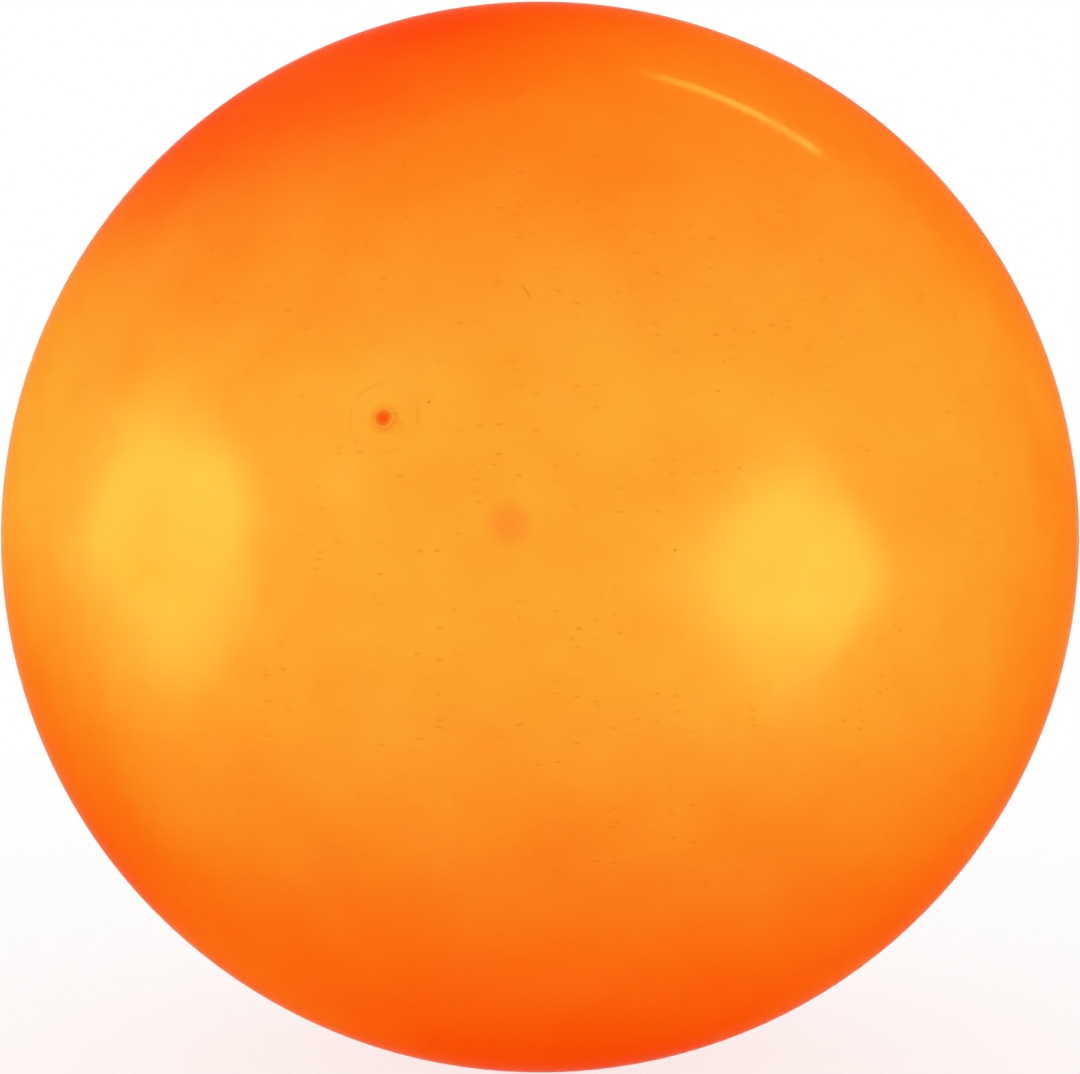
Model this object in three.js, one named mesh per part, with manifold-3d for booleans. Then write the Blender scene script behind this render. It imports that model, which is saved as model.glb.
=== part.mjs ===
// Giant inflatable ball: a seamless stretched-rubber skin that stands on its own flattened foot,
// with a stoppered filling valve in the front and a closing patch inside the far wall.
// Millimetres, +Z up. The origin is on the floor under the middle of the ball, and the front faces -Y.

import * as THREE from 'three';
import { mergeVertices } from 'three/addons/utils/BufferGeometryUtils.js';
import Module from 'manifold-3d';

const wasm = await Module();
wasm.setup();

// Ball

const BALL_WIDTH = 760;
const BALL_HEIGHT = 752; // floor to crown: the filled ball sags a little under its own weight
const FOOT_WIDTH = 96; // flat round where the soft skin meets the floor
const SKIN_WALL = 0.3;

// Places on the ball, in degrees: turned to the left of the front, and raised above the middle

const VALVE_TURN = 13.4;
const VALVE_RISE = 10;
const PATCH_TURN = 175.8;
const PATCH_RISE = 1.9;

// Stopper

const STEM_WIDTH = 4.6;
const TIP_WIDTH = 3.2;
const TIP_LENGTH = 3; // cone that leads the stem into the bore
const BEAD_COUNT = 3;
const BEAD_BULGE = 0.6; // how far each sealing bead stands out of the stem
const BEAD_LENGTH = 1.6;
const BEAD_SPACING = 1.2; // plain stem between beads
const HEAD_OVERHANG = 0.9; // how far the head reaches past the beads
const HEAD_THICKNESS = 1.5;
const HEAD_RING = 1.1; // width of the raised ring round the dish in the head
const HEAD_DISH = 0.4;

// Valve neck, the moulding that holds the stopper

const RIM_WALL = 1.7; // ring that shows round the stopper's head
const FLANGE_REACH = 7.2; // how far the flange reaches past the rim, behind the skin
const FLANGE_THICKNESS = 1.2;
const NECK_WALL = 2.6;
const NECK_TAIL = 10; // bore left free beyond the stopper's tip, for the nozzle of a pump
const NECK_FILLET = 2.5;
const SEAT_LIP_WIDTH = 1;
const SEAT_LIP_HEIGHT = 0.6;
const MOULDED_EDGE = 0.5; // rounding on the edges of the mouldings

// Valve boss, the thick disc moulded into the skin round the valve

const BOSS_THICKNESS = 1.4;
const BOSS_MARGIN = 8; // how far the boss reaches past the flange
const BOSS_TAPER = 7; // width of the ring over which the boss thins out into the skin

// Check flap, which the air inside holds shut, and the strap that it hangs from

const FLAP_THICKNESS = 0.8;
const FLAP_OVERHANG = 1.1; // how far the flap reaches past the seat lip
const STRAP_WIDTH = 6;
const STRAP_LENGTH = 9;
const STRAP_THICKNESS = 0.8;

// Closing patch, bonded inside the far wall

const PATCH_WIDTH = 20;
const PATCH_CROWN = 11; // width of its flat middle
const PATCH_THICKNESS = 2.2;
const PATCH_EDGE = 0.6;
const PATCH_EASING = 3;

// Clearances

const BOND_GAP = 0.3; // bonded or resting faces
const BORE_GAP = 0.25; // round the stopper's beads in the bore
const CUT_REACH = 6; // how far a cutting form runs past the skin

// Fineness of the round forms

const SKIN_SEGMENTS = 48;
const ARC_RINGS = 12; // from the foot to the widest ring, and again from there to the crown
const VALVE_SEGMENTS = 20;
const EASE_STEPS = 2;
const BEAD_STEPS = 4;

// Ball sizes that follow

const ballRadius = BALL_WIDTH / 2;
const footShare = Math.sqrt(1 - (FOOT_WIDTH / BALL_WIDTH) ** 2);
const uprightRadius = BALL_HEIGHT / (1 + footShare); // half height of the oval that the foot cuts
const ballCentre = uprightRadius * footShare;
const ringAngle = Math.PI / 2 / ARC_RINGS;
const facetSag = ballRadius * (2 - Math.cos(Math.PI / SKIN_SEGMENTS) - Math.cos(ringAngle / 2));

// Stopper sizes that follow: heights are below the outside of the skin

const stemRadius = STEM_WIDTH / 2;
const beadRadius = stemRadius + BEAD_BULGE;
const headRadius = beadRadius + HEAD_OVERHANG;
const stemTop = -HEAD_THICKNESS;
const beadPitch = BEAD_LENGTH + BEAD_SPACING;
const coneTop = stemTop - BEAD_COUNT * beadPitch - BEAD_SPACING / 2;
const stemEnd = coneTop - TIP_LENGTH;

// Neck, boss and flap sizes that follow

const socketRadius = headRadius + BOND_GAP;
const socketFloor = stemTop - BOND_GAP;
const boreRadius = beadRadius + BORE_GAP;
const rimRadius = socketRadius + RIM_WALL;
const flangeRadius = rimRadius + FLANGE_REACH;
const neckRadius = boreRadius + NECK_WALL;
const bossRadius = flangeRadius + BOSS_MARGIN;
const bossFace = -(SKIN_WALL + facetSag + BOSS_THICKNESS);
const flangeTop = bossFace - BOND_GAP;
const flangeBottom = flangeTop - FLANGE_THICKNESS;
const neckEnd = stemEnd - NECK_TAIL;
const seatFace = neckEnd - SEAT_LIP_HEIGHT;
const lipRadius = boreRadius + SEAT_LIP_WIDTH;
const strapInner = neckRadius + BOND_GAP;
const strapOuter = strapInner + STRAP_THICKNESS;

// Colours

const FILM_ORANGE = 0xffa030;
const THICK_ORANGE = 0xff5a14;
const INNER_ORANGE = 0xff7a1e;

// A closed geometry as a solid that can be joined and cut.
function solidOf(geometry) {
  const bare = geometry.clone();
  bare.deleteAttribute('normal');
  bare.deleteAttribute('uv');
  const welded = mergeVertices(bare, 1e-4);
  return new wasm.Manifold(new wasm.Mesh({
    numProp: 3,
    vertProperties: welded.attributes.position.array,
    triVerts: Uint32Array.from(welded.index.array),
  }));
}

// A solid as a geometry that a mesh can show.
function geometryOf(solid) {
  const { vertProperties, triVerts } = solid.getMesh();
  const geometry = new THREE.BufferGeometry();
  geometry.setAttribute('position', new THREE.BufferAttribute(vertProperties, 3));
  geometry.setIndex(new THREE.BufferAttribute(triVerts, 1));
  geometry.computeVertexNormals();
  return geometry;
}

// An outline turned once about the Z axis. Its points are (radius, height), and its outer wall goes up.
function turned(outline, segments) {
  return new THREE.LatheGeometry(outline, segments).rotateX(Math.PI / 2);
}

// An outline through corners [radius, height, easing], each rounded by a short curve of about that size.
function eased(corners, closed = false) {
  const at = corners.map(([radius, height]) => new THREE.Vector2(radius, height));
  const last = at.length - 1;
  const outline = [];
  corners.forEach(([, , easing = 0], i) => {
    const before = at[i === 0 ? last : i - 1];
    const after = at[i === last ? 0 : i + 1];
    const reach = Math.min(easing, at[i].distanceTo(before) / 2, at[i].distanceTo(after) / 2);
    if (reach === 0) {
      outline.push(at[i]);
      return;
    }
    const towards = (end) => end.clone().sub(at[i]).setLength(reach).add(at[i]);
    const bend = new THREE.QuadraticBezierCurve(towards(before), at[i], towards(after));
    outline.push(...bend.getPoints(EASE_STEPS));
  });
  if (closed) outline.push(outline[0].clone());
  return outline;
}

// The standing ball drawn in by an inset: an upright oval cut flat at its foot.
function ballForm(inset) {
  const across = ballRadius - inset;
  const upright = uprightRadius - inset;
  const footAngle = -Math.asin((ballCentre - inset) / upright);
  const lower = new THREE.EllipseCurve(0, ballCentre, across, upright, footAngle, 0);
  const upper = new THREE.EllipseCurve(0, ballCentre, across, upright, 0, Math.PI / 2);
  const outline = [
    new THREE.Vector2(0, inset),
    ...lower.getPoints(ARC_RINGS),
    ...upper.getPoints(ARC_RINGS).slice(1),
  ];
  return turned(outline, SKIN_SEGMENTS);
}

// A place on the outside of the ball: its +Z points straight out, and its +Y up the ball.
function placeOnBall(turn, rise) {
  const place = new THREE.Group();
  const turnAngle = THREE.MathUtils.degToRad(turn);
  const riseAngle = THREE.MathUtils.degToRad(rise);
  place.rotation.set(Math.PI / 2 - riseAngle, 0, -turnAngle, 'ZXY');
  const outward = new THREE.Vector3(0, 0, 1).applyEuler(place.rotation);
  const reach = 1 / Math.hypot(Math.cos(riseAngle) / ballRadius, Math.sin(riseAngle) / uprightRadius);
  place.position.copy(outward).multiplyScalar(reach);
  place.position.z += ballCentre;
  place.updateMatrix();
  return place;
}

// A named piece with its own finish.
function piece(name, geometry, color, roughness) {
  const material = new THREE.MeshStandardMaterial({ color, roughness, metalness: 0 });
  const mesh = new THREE.Mesh(geometry, material);
  mesh.name = name;
  return mesh;
}

const ball = new THREE.Group();
const valve = placeOnBall(VALVE_TURN, VALVE_RISE);
const farWall = placeOnBall(PATCH_TURN, PATCH_RISE);
ball.add(valve, farWall);

// Skin: a thin hollow shell, thickened into a boss round the hole for the valve.
function ballSkin() {
  const outside = solidOf(ballForm(0));
  const shell = outside.subtract(solidOf(ballForm(SKIN_WALL)));
  const fallAtEdge = ballRadius - Math.sqrt(ballRadius ** 2 - bossRadius ** 2);
  const bossOutline = eased([
    [0, bossFace],
    [bossRadius - BOSS_TAPER, bossFace],
    [bossRadius, -(SKIN_WALL + fallAtEdge)],
    [bossRadius, CUT_REACH],
    [0, CUT_REACH],
  ]);
  const boss = turned(bossOutline, VALVE_SEGMENTS).applyMatrix4(valve.matrix);
  const holeRadius = rimRadius + BOND_GAP;
  const holeLength = 2 * (CUT_REACH - bossFace);
  const hole = new THREE.CylinderGeometry(holeRadius, holeRadius, holeLength, VALVE_SEGMENTS)
    .rotateX(Math.PI / 2)
    .applyMatrix4(valve.matrix);
  const thickened = shell.add(solidOf(boss).intersect(outside));
  return geometryOf(thickened.subtract(solidOf(hole)));
}
ball.add(piece('ball_skin', ballSkin(), FILM_ORANGE, 0.35));

// Valve neck: a rim that fills the skin's hole, a flange behind the boss, and a tube with a seat at its end.
function valveNeck() {
  const outline = eased([
    [boreRadius, socketFloor],
    [boreRadius, seatFace],
    [lipRadius, seatFace, MOULDED_EDGE],
    [lipRadius, neckEnd],
    [neckRadius, neckEnd, MOULDED_EDGE],
    [neckRadius, flangeBottom, NECK_FILLET],
    [flangeRadius, flangeBottom, MOULDED_EDGE],
    [flangeRadius, flangeTop],
    [rimRadius, flangeTop],
    [rimRadius, 0, MOULDED_EDGE],
    [socketRadius, 0, MOULDED_EDGE],
    [socketRadius, socketFloor],
  ], true);
  return turned(outline, VALVE_SEGMENTS);
}
valve.add(piece('valve_neck', valveNeck(), THICK_ORANGE, 0.45));

// Stopper: a dished head level with the skin, on a stem whose beads seal in the bore.
function valveStopper() {
  const tip = eased([
    [0, stemEnd],
    [TIP_WIDTH / 2, stemEnd, MOULDED_EDGE],
    [stemRadius, coneTop],
  ]);
  const beads = [];
  for (let i = BEAD_COUNT; i > 0; i--) {
    const middle = stemTop - i * beadPitch + BEAD_LENGTH / 2;
    const halfTurn = Math.PI / 2;
    const bead = new THREE.EllipseCurve(stemRadius, middle, BEAD_BULGE, BEAD_LENGTH / 2, -halfTurn, halfTurn);
    beads.push(...bead.getPoints(BEAD_STEPS));
  }
  const head = eased([
    [stemRadius, stemTop],
    [headRadius, stemTop, MOULDED_EDGE],
    [headRadius, 0, MOULDED_EDGE],
    [headRadius - HEAD_RING, 0, MOULDED_EDGE],
    [headRadius - HEAD_RING - HEAD_DISH, -HEAD_DISH, MOULDED_EDGE],
    [0, -HEAD_DISH],
  ]);
  return turned([...tip, ...beads, ...head], VALVE_SEGMENTS);
}
valve.add(piece('valve_stopper', valveStopper(), THICK_ORANGE, 0.4));

// Check flap: a disc over the seat lip, with a tab that runs up to the end of its strap.
function checkFlap() {
  const discRadius = lipRadius + FLAP_OVERHANG;
  const halfTab = STRAP_WIDTH / 2;
  const shoulder = Math.acos(halfTab / discRadius);
  const outline = new THREE.Shape();
  outline.moveTo(halfTab, strapOuter);
  outline.lineTo(-halfTab, strapOuter);
  outline.absarc(0, 0, discRadius, Math.PI - shoulder, 2 * Math.PI + shoulder);
  outline.closePath();
  const form = { depth: FLAP_THICKNESS, bevelEnabled: false, curveSegments: VALVE_SEGMENTS };
  return new THREE.ExtrudeGeometry(outline, form).translate(0, 0, seatFace - BOND_GAP - FLAP_THICKNESS);
}
valve.add(piece('check_flap', checkFlap(), INNER_ORANGE, 0.5));

// Strap: bonded along the top of the neck, its end level with the seat.
function flapStrap() {
  const top = Math.PI / 2;
  const halfAngle = STRAP_WIDTH / 2 / strapInner;
  const outline = new THREE.Shape();
  outline.absarc(0, 0, strapOuter, top - halfAngle, top + halfAngle);
  outline.absarc(0, 0, strapInner, top + halfAngle, top - halfAngle, true);
  outline.closePath();
  const form = { depth: STRAP_LENGTH, bevelEnabled: false, curveSegments: VALVE_SEGMENTS / 4 };
  return new THREE.ExtrudeGeometry(outline, form).translate(0, 0, seatFace);
}
valve.add(piece('flap_strap', flapStrap(), INNER_ORANGE, 0.5));

// Closing patch: a low domed disc, its outer face fitted to the inside of the skin.
function closingPatch() {
  const radius = PATCH_WIDTH / 2;
  const wallFace = -(SKIN_WALL + BOND_GAP + facetSag);
  const outline = eased([
    [0, wallFace - PATCH_THICKNESS],
    [PATCH_CROWN / 2, wallFace - PATCH_THICKNESS, PATCH_EASING],
    [radius, wallFace - PATCH_EDGE],
    [radius, CUT_REACH],
    [0, CUT_REACH],
  ]);
  const hollow = ballForm(SKIN_WALL + BOND_GAP).applyMatrix4(farWall.matrix.clone().invert());
  return geometryOf(solidOf(turned(outline, VALVE_SEGMENTS)).intersect(solidOf(hollow)));
}
farWall.add(piece('closing_patch', closingPatch(), INNER_ORANGE, 0.5));

export default ball;
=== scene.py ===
# %% [markdown]
# # A giant inflatable ball
#
# The ball is one seamless bubble of thin, translucent stretch rubber, three quarters of a metre wide.
# A push-in stopper in the front closes its valve, and a patch inside the far wall closes the hole
# that the moulding left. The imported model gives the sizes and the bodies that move. Its plain solids
# could be dressed with materials alone, but their facets would show in a glossy film, so each piece
# is made again here with a fine surface.

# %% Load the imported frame

import math

import bmesh
import bpy
from mathutils import Matrix, Vector


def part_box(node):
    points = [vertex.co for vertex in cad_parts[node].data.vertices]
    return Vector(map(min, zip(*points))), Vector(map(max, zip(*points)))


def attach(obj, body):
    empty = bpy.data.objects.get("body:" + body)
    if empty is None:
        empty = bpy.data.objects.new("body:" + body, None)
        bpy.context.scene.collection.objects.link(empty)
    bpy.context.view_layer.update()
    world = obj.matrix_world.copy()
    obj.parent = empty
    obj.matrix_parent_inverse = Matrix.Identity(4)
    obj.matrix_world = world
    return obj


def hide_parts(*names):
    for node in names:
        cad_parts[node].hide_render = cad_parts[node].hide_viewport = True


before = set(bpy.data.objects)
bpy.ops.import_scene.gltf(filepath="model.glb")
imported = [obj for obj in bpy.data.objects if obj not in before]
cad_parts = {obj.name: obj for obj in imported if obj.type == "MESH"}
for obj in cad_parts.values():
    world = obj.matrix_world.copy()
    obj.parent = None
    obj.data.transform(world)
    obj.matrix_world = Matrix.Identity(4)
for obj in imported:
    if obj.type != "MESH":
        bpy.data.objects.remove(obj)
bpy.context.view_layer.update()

# %% [markdown]
# ## Sizes
#
# The ball is an upright oval that its own weight flattens at the foot. Its width and height come from
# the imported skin. The valve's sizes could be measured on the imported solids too, but a box doesn't tell
# a bore or a bead, so they repeat the drawing's, and the fine pieces sit where the solids are.

# %% Sizes of the ball, and places on it

MM = 0.001

skin_low, skin_high = (Vector(corner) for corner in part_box("ball_skin"))
BALL_RADIUS = (skin_high.x - skin_low.x) / 2
BALL_HEIGHT = skin_high.z - skin_low.z
FOOT_WIDTH = 96 * MM

foot_share = math.sqrt(1 - (FOOT_WIDTH / 2 / BALL_RADIUS) ** 2)
UPRIGHT_RADIUS = BALL_HEIGHT / (1 + foot_share)
CENTRE = Vector((0, 0, UPRIGHT_RADIUS * foot_share))

VALVE_TURN, VALVE_RISE = 13.4, 10
PATCH_TURN, PATCH_RISE = 175.8, 1.9


def place_on_ball(turn, rise):
    """The place at a turn to the left and a rise, in degrees: +Z points out and +Y up the ball."""
    turn, rise = math.radians(turn), math.radians(rise)
    out = Vector((-math.sin(turn) * math.cos(rise), -math.cos(turn) * math.cos(rise), math.sin(rise)))
    right = Vector((math.cos(turn), -math.sin(turn), 0))
    up = out.cross(right)
    reach = 1 / math.hypot(math.cos(rise) / BALL_RADIUS, math.sin(rise) / UPRIGHT_RADIUS)
    turned = Matrix((right, up, out)).transposed().to_4x4()
    return Matrix.Translation(CENTRE + out * reach) @ turned


VALVE = place_on_ball(VALVE_TURN, VALVE_RISE)
FAR_WALL = place_on_ball(PATCH_TURN, PATCH_RISE)
print("radius", round(BALL_RADIUS, 4), "upright", round(UPRIGHT_RADIUS, 4), "centre", round(CENTRE.z, 4))
print("valve at", [round(v, 4) for v in VALVE.translation])
print("patch at", [round(v, 4) for v in FAR_WALL.translation])

# %% [markdown]
# ## Meshes from rings
#
# Every piece of this ball is round in some way, so one helper makes them all: it takes a list of rings
# of points and joins each ring to the next with a band of faces. A ring may shrink to a single point,
# which closes an end. A sphere from the Add menu would be quicker, but it would have no hole for the
# valve and no boss round it.

# %% Helpers that make rings and join them into a mesh


def circle(count):
    """Unit directions round a circle."""
    return [(math.cos(math.tau * k / count), math.sin(math.tau * k / count)) for k in range(count)]


def ring_mesh(name, rings, body, node, slot, loop=False):
    """A smooth closed mesh through rings of points; a ring of one point closes an end."""
    points, starts = [], []
    for ring in rings:
        starts.append(len(points))
        points += [tuple(p) for p in ring]
    faces = []
    pairs = [(i, i + 1) for i in range(len(rings) - 1)]
    if loop:
        pairs.append((len(rings) - 1, 0))
    for first, second in pairs:
        count = max(len(rings[first]), len(rings[second]))
        for k in range(count):
            corner = []
            for ring, steps in ((first, (k, k + 1)), (second, (k + 1, k))):
                if len(rings[ring]) == 1:
                    corner.append(starts[ring])
                else:
                    corner += [starts[ring] + step % count for step in steps]
            faces.append(corner)
    mesh = bpy.data.meshes.new(name)
    mesh.from_pydata(points, [], faces)
    shell = bmesh.new()
    shell.from_mesh(mesh)
    bmesh.ops.recalc_face_normals(shell, faces=shell.faces)
    shell.to_mesh(mesh)
    shell.free()
    mesh.shade_smooth()
    piece = bpy.data.objects.new(name, mesh)
    bpy.context.scene.collection.objects.link(piece)
    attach(piece, body)
    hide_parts(node)
    print(name, "has", len(points), "points and", len(faces), "faces")
    return piece


print("helpers:", circle.__name__, "and", ring_mesh.__name__)

# %% [markdown]
# ## The skin
#
# The skin is blown from one thick cap, so it has no seam. For each direction from the ball's middle,
# `skin_point` says how far out the skin lies: on the oval, or on the floor where that is nearer. A
# Solidify modifier could give the film its wall, but not the thick boss round the valve, so the inner
# face has rings of its own, as deep as `boss_depth` says.

# %% Where the skin lies

FOOT_EASING = 2.8 * MM
SKIN_WALL, BOND_GAP = 0.3 * MM, 0.3 * MM
BOSS_RADIUS, BOSS_TAPER, BOSS_DEPTH = 21.2 * MM, 7 * MM, 3.3 * MM
RIDGE_RADIUS, RIDGE_WIDTH, RIDGE_HEIGHT = 20.4 * MM, 0.6 * MM, 0.16 * MM


def smooth_least(a, b, blend):
    """The lesser of two lengths, eased where they are close."""
    near = max(blend - abs(a - b), 0) / blend
    return min(a, b) - near * near * blend / 4


def skin_point(direction, inset):
    """The point of the standing ball in a direction from its middle, drawn in by an inset."""
    across = math.hypot(direction.x, direction.y) / (BALL_RADIUS - inset)
    reach = 1 / math.hypot(across, direction.z / (UPRIGHT_RADIUS - inset))
    if direction.z < 0:
        to_floor = (CENTRE.z - inset) / -direction.z
        reach = smooth_least(reach, to_floor, FOOT_EASING)
    return CENTRE + direction * reach


def smooth_step(low, high, value):
    """A share that eases from 0 at the low value to 1 at the high one."""
    share = min(max((value - low) / (high - low), 0), 1)
    return share * share * (3 - 2 * share)


def boss_depth(distance):
    """How deep the inner face lies at a distance from the valve's middle."""
    taper = smooth_step(BOSS_RADIUS - BOSS_TAPER, BOSS_RADIUS, distance)
    return BOSS_DEPTH + (SKIN_WALL - BOSS_DEPTH) * taper


def boss_ridge(distance):
    """The faint raised ring where the boss ends, as an inset below zero."""
    return -RIDGE_HEIGHT * math.exp(-(((distance - RIDGE_RADIUS) / RIDGE_WIDTH) ** 2))


print("the film is", round(boss_depth(0) / MM, 2), "mm thick at the boss and",
      round(boss_depth(BOSS_RADIUS) / MM, 2), "mm beyond it")

# %% [markdown]
# ## Rings round the valve
#
# The rings lie round the valve, fine near its hole and wider apart towards the far side. They start at
# the far side on the inside, run to the valve, roll over the lip of the hole and go back along the
# outside, so the film has a real thickness. Even rings would do for the ball, but not for the boss.

# %% Make the skin

RIM_RADIUS = 5.8 * MM
HOLE_RADIUS = RIM_RADIUS + BOND_GAP
FIRST_STEP, STEP_GROWTH, LAST_STEP = 0.35 * MM, 1.05, 7.2 * MM
LIP_STEPS, LIP_BULGE = 6, BOND_GAP / 3
SKIN_AROUND = 160

distances = [HOLE_RADIUS]
step = FIRST_STEP
while distances[-1] + step < math.pi * BALL_RADIUS - LAST_STEP / 2:
    distances.append(distances[-1] + step)
    step = min(step * STEP_GROWTH, LAST_STEP)


def skin_ring(place, distance, inset, count):
    """A ring of points at a distance from a place, measured along the skin."""
    angle = distance / BALL_RADIUS
    turned = place.to_3x3()
    ring = []
    for c, s in circle(count):
        direction = turned @ Vector((math.sin(angle) * c, math.sin(angle) * s, math.cos(angle)))
        ring.append(skin_point(direction, inset))
    return ring


far_side = -VALVE.col[2].to_3d()
skin_rings = [[skin_point(far_side, SKIN_WALL)]]
skin_rings += [skin_ring(VALVE, d, boss_depth(d), SKIN_AROUND) for d in reversed(distances)]
for k in range(1, LIP_STEPS):
    roll = math.pi * k / LIP_STEPS
    depth = BOSS_DEPTH / 2 * (1 + math.cos(roll))
    skin_rings.append(skin_ring(VALVE, HOLE_RADIUS - LIP_BULGE * math.sin(roll), depth, SKIN_AROUND))
skin_rings += [skin_ring(VALVE, d, boss_ridge(d), SKIN_AROUND) for d in distances]
skin_rings.append([skin_point(far_side, 0)])
skin = ring_mesh("skin", skin_rings, "ball", "ball_skin", "film")

# %% [markdown]
# ## Turned pieces
#
# The valve's pieces are turned forms. A Screw and a Bevel modifier could make them, but it would take
# weights to ease each edge its own way. Here an outline is a list of corners with their easings, and its
# points are turned about the valve's axis into rings.

# %% Helpers that ease an outline and turn it

EASE_STEPS = 6
TURNED_AROUND = 72
ON_AXIS = 1e-9


def eased(corners, loop=False):
    """Points (radius, height) in metres through corners (radius, height, easing) in millimetres."""
    outline = []
    last = len(corners) - 1
    for i, (radius, height, easing) in enumerate(corners):
        here = Vector((radius, height))
        before = Vector(corners[i - 1][:2]) if loop or i > 0 else here
        after = Vector(corners[(i + 1) % len(corners)][:2]) if loop or i < last else here
        reach = min(easing, (before - here).length / 2, (after - here).length / 2)
        if reach == 0:
            outline.append(here * MM)
            continue
        start = here + (before - here).normalized() * reach
        end = here + (after - here).normalized() * reach
        for k in range(EASE_STEPS + 1):
            t = k / EASE_STEPS
            outline.append(((1 - t) ** 2 * start + 2 * t * (1 - t) * here + t * t * end) * MM)
    return outline


def turned_rings(place, outline):
    """Rings of an outline turned about a place's +Z axis."""
    rings = []
    for radius, height in outline:
        if radius < ON_AXIS:
            rings.append([place @ Vector((0, 0, height))])
            continue
        ring = [place @ Vector((radius * c, radius * s, height)) for c, s in circle(TURNED_AROUND)]
        rings.append(ring)
    return rings


print("an eased corner has", EASE_STEPS + 1, "points, and a turned ring has", TURNED_AROUND)

# %% [markdown]
# ## The stopper
#
# The red dot in the skin is the dished head of a push-in stopper. Behind it three beads on the stem
# seal in the neck. The beads could be rings joined to a plain stem, but one outline leaves no hidden
# faces, so each bead is half an oval in it.

# %% Make the stopper

STEM_RADIUS, BEAD_RADIUS, HEAD_RADIUS = 2.3, 2.9, 4.0
HEAD_THICKNESS, HEAD_RING, HEAD_DISH = 1.5, 1.1, 0.4
BEAD_LENGTH, BEAD_PITCH, BEAD_COUNT = 1.6, 2.8, 3
TIP_RADIUS, TIP_LENGTH = 1.6, 3
TIP_EASING, UNDER_EASING, EDGE_EASING, DISH_EASING = 0.7, 0.5, 0.3, 0.5
BEAD_STEPS = 10

cone_top = -HEAD_THICKNESS - BEAD_COUNT * BEAD_PITCH - (BEAD_PITCH - BEAD_LENGTH) / 2
stem_end = cone_top - TIP_LENGTH
outline = eased([(0, stem_end, 0), (TIP_RADIUS, stem_end, TIP_EASING), (STEM_RADIUS, cone_top, 0)])
for bead in range(BEAD_COUNT, 0, -1):
    middle = -HEAD_THICKNESS - bead * BEAD_PITCH + BEAD_LENGTH / 2
    for k in range(BEAD_STEPS + 1):
        angle = math.pi * (k / BEAD_STEPS - 0.5)
        radius = STEM_RADIUS + (BEAD_RADIUS - STEM_RADIUS) * math.cos(angle)
        outline.append(Vector((radius, middle + BEAD_LENGTH / 2 * math.sin(angle))) * MM)
outline += eased([
    (STEM_RADIUS, -HEAD_THICKNESS, 0),
    (HEAD_RADIUS, -HEAD_THICKNESS, UNDER_EASING),
    (HEAD_RADIUS, 0, EDGE_EASING),
    (HEAD_RADIUS - HEAD_RING, 0, DISH_EASING),
    (HEAD_RADIUS - HEAD_RING - HEAD_DISH, -HEAD_DISH, DISH_EASING),
    (0, -HEAD_DISH, 0),
])
stopper = ring_mesh("stopper", turned_rings(VALVE, outline), "stopper", "valve_stopper", "stopper")

# %% [markdown]
# ## The neck
#
# The neck is a soft moulding. Its rim fills the hole in the skin, its flange is bonded behind the boss
# and its tube holds the stem. A tube with a bore cut through it would need a Boolean, so its outline
# is a closed loop instead, down the bore and up the outside.

# %% Make the neck

SOCKET_RADIUS, SOCKET_FLOOR = 4.1, -1.8
BORE_RADIUS, NECK_RADIUS, FLANGE_RADIUS, LIP_RADIUS = 3.15, 5.75, 13, 4.15
FLANGE_TOP, FLANGE_BOTTOM = -3.6, -4.8
NECK_TAIL, SEAT_LIP_HEIGHT = 10, 0.6
RIM_PLAY = 0.05 * MM
BORE_EASING, SEAT_EASING, LIP_EASING, LIP_ROOT = 0.2, 0.15, 0.3, 0.2
END_EASING, FLANGE_ROOT, FLANGE_EASING, FLANGE_FACE = 0.6, 2.5, 0.6, 0.4
RIM_ROOT, RIM_EASING, MOUTH_EASING, SOCKET_EASING = 0.2, 0.3, 0.25, 0.2
neck_end = stem_end - NECK_TAIL
seat_face = neck_end - SEAT_LIP_HEIGHT
rim_radius = (HOLE_RADIUS - RIM_PLAY) / MM

outline = eased([
    (BORE_RADIUS, SOCKET_FLOOR, BORE_EASING),
    (BORE_RADIUS, seat_face, SEAT_EASING),
    (LIP_RADIUS, seat_face, LIP_EASING),
    (LIP_RADIUS, neck_end, LIP_ROOT),
    (NECK_RADIUS, neck_end, END_EASING),
    (NECK_RADIUS, FLANGE_BOTTOM, FLANGE_ROOT),
    (FLANGE_RADIUS, FLANGE_BOTTOM, FLANGE_EASING),
    (FLANGE_RADIUS, FLANGE_TOP, FLANGE_FACE),
    (rim_radius, FLANGE_TOP, RIM_ROOT),
    (rim_radius, 0, RIM_EASING),
    (SOCKET_RADIUS, 0, MOUTH_EASING),
    (SOCKET_RADIUS, SOCKET_FLOOR, SOCKET_EASING),
], loop=True)
neck = ring_mesh("neck", turned_rings(VALVE, outline), "ball", "valve_neck", "valve", loop=True)

# %% [markdown]
# ## The check flap and its strap
#
# Inside the ball a soft flap lies over the end of the neck. A pump's air pushes it open, and the air
# in the ball presses it shut. It hangs from a strap that is bonded along the neck. Both are cut from
# sheet. A curve with a bevel could give them, but rings through the outline join as the other pieces
# do, with the edges a little rounded.

# %% A helper for cut sheet

SHEET_EDGE = 0.2


def sheet_rings(outline, bottom, top):
    """Rings of a flat sheet between two heights, its edges a little rounded."""
    middle = sum(outline, Vector((0, 0))) / len(outline)
    size = max((p - middle).length for p in outline)
    drawn_in = 1 - SHEET_EDGE / size
    levels = [(bottom, drawn_in), (bottom + SHEET_EDGE, 1), (top - SHEET_EDGE, 1), (top, drawn_in)]
    rings = [[VALVE @ (Vector((*middle, bottom)) * MM)]]
    for height, share in levels:
        rings.append([VALVE @ (Vector((*(middle + (p - middle) * share), height)) * MM) for p in outline])
    rings.append([VALVE @ (Vector((*middle, top)) * MM)])
    return rings


print("sheet edges are rounded over", SHEET_EDGE, "mm")

# %% Make the flap

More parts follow.
